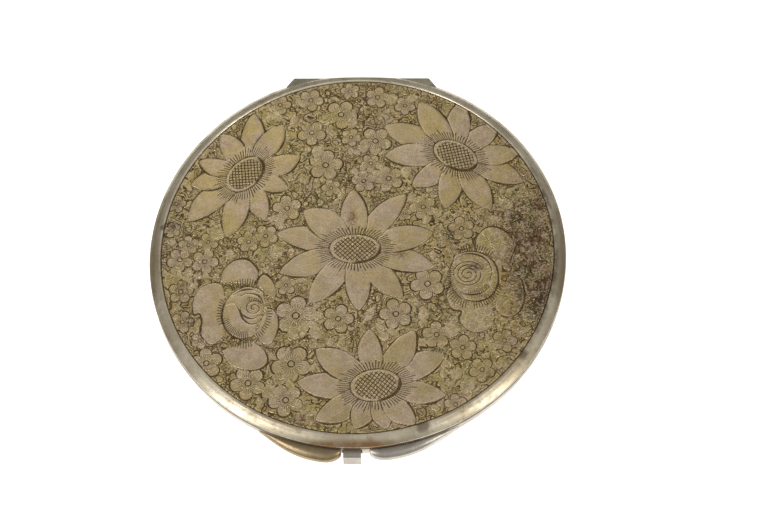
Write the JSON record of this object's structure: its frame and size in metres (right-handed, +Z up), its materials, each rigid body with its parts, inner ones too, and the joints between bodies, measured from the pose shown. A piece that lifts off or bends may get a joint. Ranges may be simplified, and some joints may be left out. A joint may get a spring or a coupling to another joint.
{
  "type": "powder compact",
  "caption": "Round hinged metal powder compact with an engraved domed lid, inner mirror, hinged powder door, gauze sifter, puff and push-button catch.",
  "frame": {"origin": "centre of the base's flat bottom, on the surface that the compact rests on", "axes": "+Z up through the closed lid, +Y towards the case hinge, -Y towards the catch and its push button, +X to the right seen from the catch side"},
  "size_m": [0.076, 0.0778, 0.0112],
  "materials": {
    "tarnished_silver": "engraved and matted silver plate with brown tarnish",
    "satin_silver": "worn satin silver plate",
    "gilt_brass": "brushed gilt",
    "brass_wire": "drawn wire",
    "spring_steel": "bright spring steel",
    "mirror": "silvered glass",
    "card": "plain grey-brown card",
    "powder": "pressed face powder, matt",
    "gauze": "fine woven gauze",
    "velour": "short-pile velour",
    "satin_ribbon": "satin weave"
  },
  "bodies": {
    "base": {"base_shell": "tarnished_silver", "base_rim_bezel": "gilt_brass", "base_hinge_plate": "satin_silver", "base_knuckle_left": "satin_silver", "base_knuckle_centre": "satin_silver", "base_knuckle_right": "satin_silver", "hinge_pin": "brass_wire", "catch_cheek_left": "tarnished_silver", "catch_cheek_right": "satin_silver", "catch_spring": "spring_steel", "catch_spring_post_left": "brass_wire", "catch_spring_post_right": "brass_wire", "powder_pan": "gilt_brass", "powder_cake": "powder", "sifter_ring": "gilt_brass", "sifter_gauze": "gauze", "puff": "velour", "puff_ribbon": "satin_ribbon", "door_base_knuckle_left": "gilt_brass", "door_base_knuckle_right": "gilt_brass", "door_hinge_pin": "brass_wire"},
    "lid": {"lid_shell": "tarnished_silver", "lid_hinge_plate": "satin_silver", "lid_knuckle_left": "satin_silver", "lid_knuckle_right": "satin_silver", "mirror_glass": "mirror", "mirror_backing_card": "card", "mirror_bezel": "gilt_brass", "lid_catch_tongue": "gilt_brass"},
    "powder_door": {"door_plate": "gilt_brass", "door_knuckle": "gilt_brass", "door_finger_lip": "gilt_brass"},
    "push_button": {"push_button": "satin_silver", "catch_bolt": "spring_steel"}
  },
  "joints": [
    {"name": "lid_hinge", "type": "hinge", "parent": "base", "child": "lid", "pos_m": [0, 0.036, 0.00875], "axis": [-1, 0, 0], "range_deg": [0, 115]},
    {"name": "powder_door_hinge", "type": "hinge", "parent": "base", "child": "powder_door", "pos_m": [0, 0.0322, 0.00705], "axis": [-1, 0, 0], "range_deg": [0, 81]},
    {"name": "button_press", "type": "slide", "parent": "base", "child": "push_button", "axis": [0, 1, 0], "range_m": [0, 0.0006], "stiffness_N_per_m": 1500, "springref_m": -0.0005, "deforming": ["catch_spring"]}
  ],
  "couplings": [
    {"joint": "powder_door_hinge", "follows": "lid_hinge", "ratio": 0.7}
  ]
}
